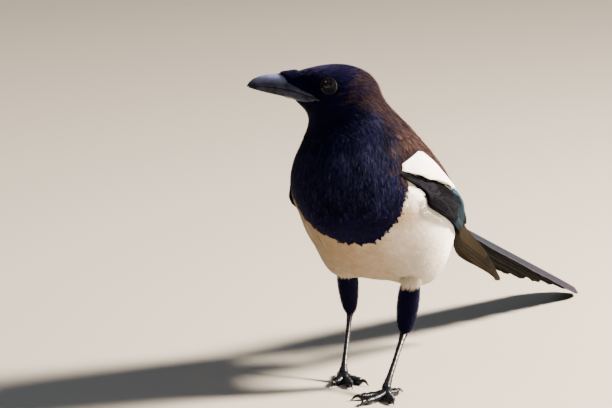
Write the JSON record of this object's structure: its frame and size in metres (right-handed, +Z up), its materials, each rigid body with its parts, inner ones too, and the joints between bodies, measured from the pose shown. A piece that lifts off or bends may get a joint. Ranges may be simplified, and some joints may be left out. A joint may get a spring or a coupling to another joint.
{
  "type": "eurasian magpie model",
  "caption": "Life-size still model of a standing Eurasian magpie with its head turned to its right, wings folded and long tail sloping down behind.",
  "frame": {"origin": "On the floor, at the centre of the bounding box's bottom.", "axes": "+Z is up. The breast faces -Y and the tail runs to +Y, the longest extent. +X is the bird's left. The head is turned 66 degrees to its right."},
  "size_m": [0.1046, 0.3818, 0.1936],
  "materials": {
    "plumage_black": "soft black feathers with a faint navy sheen",
    "plumage_white": "soft white feathers",
    "plumage_blue": "smooth black feathers with a blue gloss",
    "tail_green": "smooth black feathers with a green and bronze gloss",
    "bill": "satin black horn",
    "eye": "wet dark brown",
    "leg": "glossy blue-black scales",
    "claw": "polished black horn"
  },
  "bodies": {
    "root": {"head": "plumage_black", "neck": "plumage_black", "breast": "plumage_black", "belly": "plumage_white", "rump": "plumage_black", "bill_upper": "bill", "bill_lower": "bill", "eye_L": "eye", "eye_R": "eye", "wing_L": "plumage_blue", "wing_R": "plumage_blue", "scapulars_L": "plumage_white", "scapulars_R": "plumage_white", "tail": "tail_green", "thigh_L": "plumage_black", "thigh_R": "plumage_black", "tarsus_L": "leg", "tarsus_R": "leg", "foot_L": "leg", "foot_R": "leg", "claw_inner_L": "claw", "claw_middle_L": "claw", "claw_outer_L": "claw", "claw_hind_L": "claw", "claw_inner_R": "claw", "claw_middle_R": "claw", "claw_outer_R": "claw", "claw_hind_R": "claw"}
  },
  "joints": []
}
